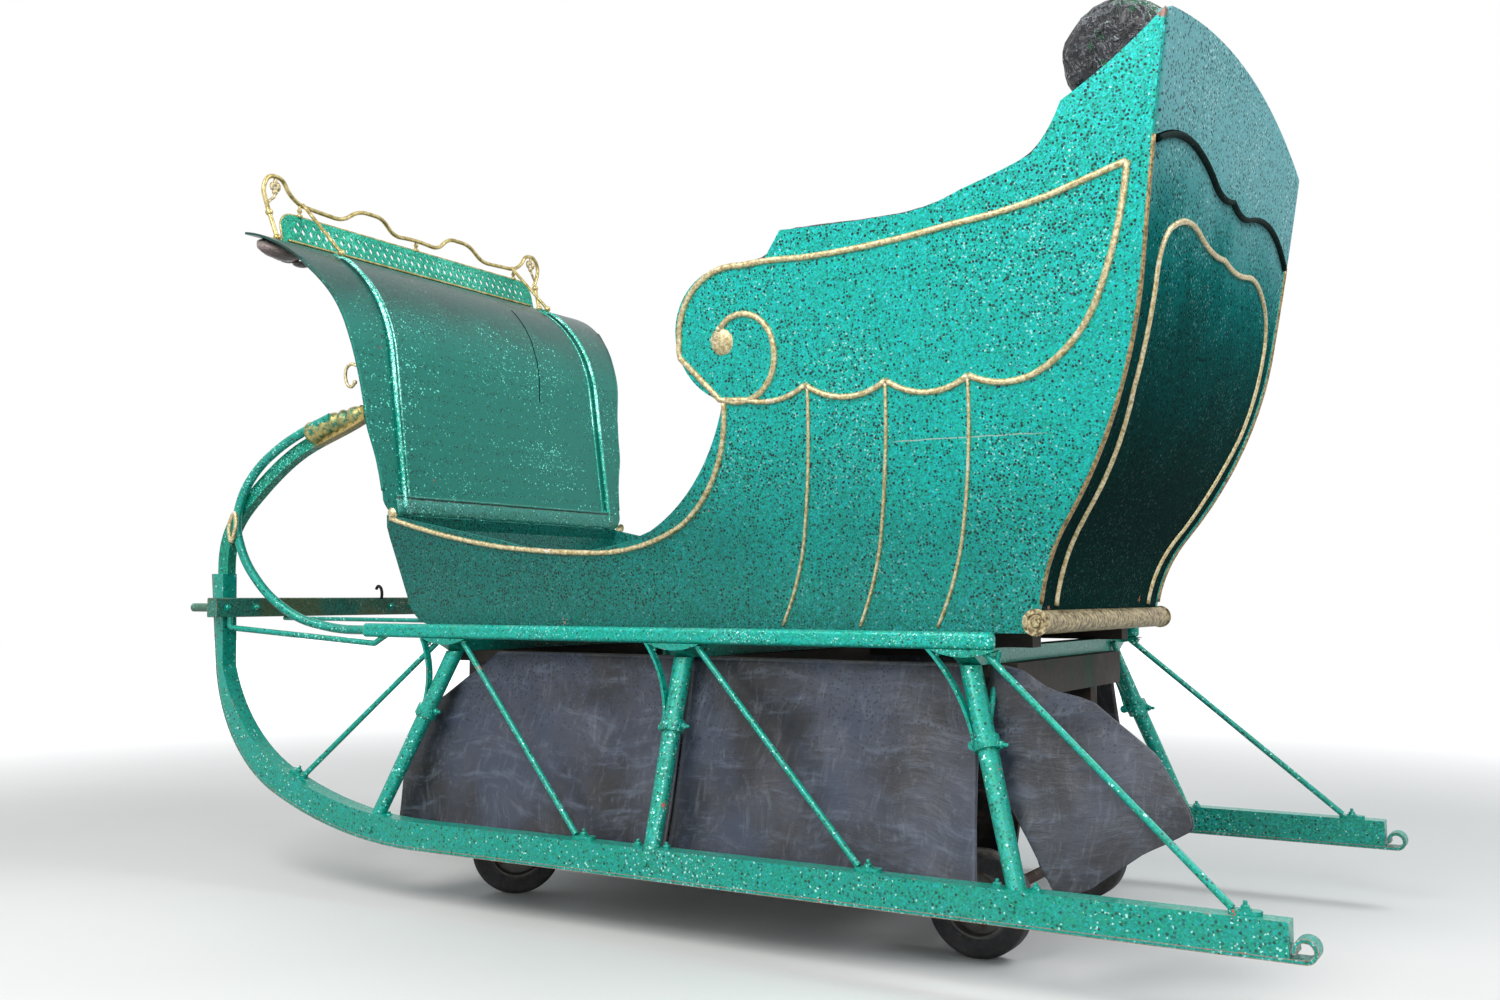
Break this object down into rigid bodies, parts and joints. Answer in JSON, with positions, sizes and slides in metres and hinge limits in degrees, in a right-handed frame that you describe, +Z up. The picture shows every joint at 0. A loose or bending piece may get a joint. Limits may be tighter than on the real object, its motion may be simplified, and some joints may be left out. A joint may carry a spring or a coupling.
{
  "type": "horse drawn sleigh",
  "caption": "Scroll-sided cutter sleigh with a tall flared back, curled dash with pierced gallery and splayed posts on bent runners, parked on a low wheeled trolley behind rubber skirts.",
  "frame": {"origin": "on the floor, under the middle of the overall box", "axes": "X along the sleigh with the nose at -X, Y across it with its left side at -Y, Z up"},
  "size_m": [2.2519, 1.06, 1.5176],
  "materials": {
    "glitter_wood": "sea-green metal-flake paint over wood, chipped at the edges",
    "glitter_iron": "sea-green metal-flake paint over iron",
    "glitter_sheet": "sea-green metal-flake paint over thin steel sheet",
    "shoe_steel": "worn steel with flaking paint and light rust",
    "bare_wood": "plain timber",
    "upholstery": "pleated silver, black and green cloth",
    "brass_rod": "tarnished",
    "gold_roller": "gold paint over turned wood",
    "gold_trim": "rubbed gold paint over raised mouldings",
    "rubber_sheet": "scuffed and dusty",
    "trolley_steel": "rusty",
    "wheel_rim": "moulded",
    "wheel_tyre": "dusty"
  },
  "bodies": {
    "sleigh": {"runner_left": "glitter_wood", "runner_right": "glitter_wood", "shoe_left": "shoe_steel", "shoe_right": "shoe_steel", "dash_bar_left": "glitter_wood", "dash_bar_right": "glitter_wood", "side_rail_left": "glitter_wood", "side_rail_right": "glitter_wood", "rail_iron_left": "glitter_iron", "rail_iron_right": "glitter_iron", "front_crossbar": "glitter_wood", "front_stays": "glitter_iron", "beam_front": "glitter_wood", "beam_middle": "glitter_wood", "beam_rear": "glitter_wood", "floor_sills": "glitter_wood", "posts_left": "glitter_wood", "posts_right": "glitter_wood", "post_irons_left": "glitter_iron", "post_irons_right": "glitter_iron", "stay_rods_left": "glitter_iron", "stay_rods_right": "glitter_iron", "body_side_left": "glitter_wood", "body_side_right": "glitter_wood", "back_panel": "glitter_wood", "mouldings_left": "gold_trim", "mouldings_right": "gold_trim", "back_moulding": "gold_trim", "floor_board": "bare_wood", "front_board": "glitter_wood", "seat_box": "glitter_wood", "seat_cushion": "upholstery", "back_cushion": "upholstery", "arm_pad_left": "upholstery", "arm_pad_right": "upholstery", "dash_panel": "glitter_sheet", "dash_gallery": "glitter_sheet", "dash_rail": "brass_rod", "rear_roller": "gold_roller", "skirts_left": "rubber_sheet", "skirts_right": "rubber_sheet", "skirt_battens": "bare_wood", "trolley_frame": "trolley_steel", "trolley_bolsters": "bare_wood", "trolley_axle": "trolley_steel", "castor_plates": "trolley_steel"},
    "rear_wheel_left": {"rim_rear_left": "wheel_rim", "tyre_rear_left": "wheel_tyre"},
    "castor_left": {"castor_fork_left": "trolley_steel"},
    "front_wheel_left": {"rim_front_left": "wheel_rim", "tyre_front_left": "wheel_tyre"},
    "rear_wheel_right": {"rim_rear_right": "wheel_rim", "tyre_rear_right": "wheel_tyre"},
    "castor_right": {"castor_fork_right": "trolley_steel"},
    "front_wheel_right": {"rim_front_right": "wheel_rim", "tyre_front_right": "wheel_tyre"}
  },
  "joints": [
    {"name": "rear_wheel_left_spin", "type": "hinge", "parent": "sleigh", "child": "rear_wheel_left", "pos_m": [0.562, -0.265, 0.088], "axis": [0, 1, 0], "continuous": true},
    {"name": "castor_left_swivel", "type": "hinge", "parent": "sleigh", "child": "castor_left", "pos_m": [-0.392, -0.243, 0.195], "axis": [0, 0, 1], "continuous": true},
    {"name": "front_wheel_left_spin", "type": "hinge", "parent": "castor_left", "child": "front_wheel_left", "pos_m": [-0.42647, -0.27193, 0.088], "axis": [-0.6428, 0.766, 0], "continuous": true},
    {"name": "rear_wheel_right_spin", "type": "hinge", "parent": "sleigh", "child": "rear_wheel_right", "pos_m": [0.562, 0.265, 0.088], "axis": [0, 1, 0], "continuous": true},
    {"name": "castor_right_swivel", "type": "hinge", "parent": "sleigh", "child": "castor_right", "pos_m": [-0.392, 0.243, 0.195], "axis": [0, 0, 1], "continuous": true},
    {"name": "front_wheel_right_spin", "type": "hinge", "parent": "castor_right", "child": "front_wheel_right", "pos_m": [-0.42647, 0.21407, 0.088], "axis": [-0.6428, 0.766, 0], "continuous": true}
  ]
}
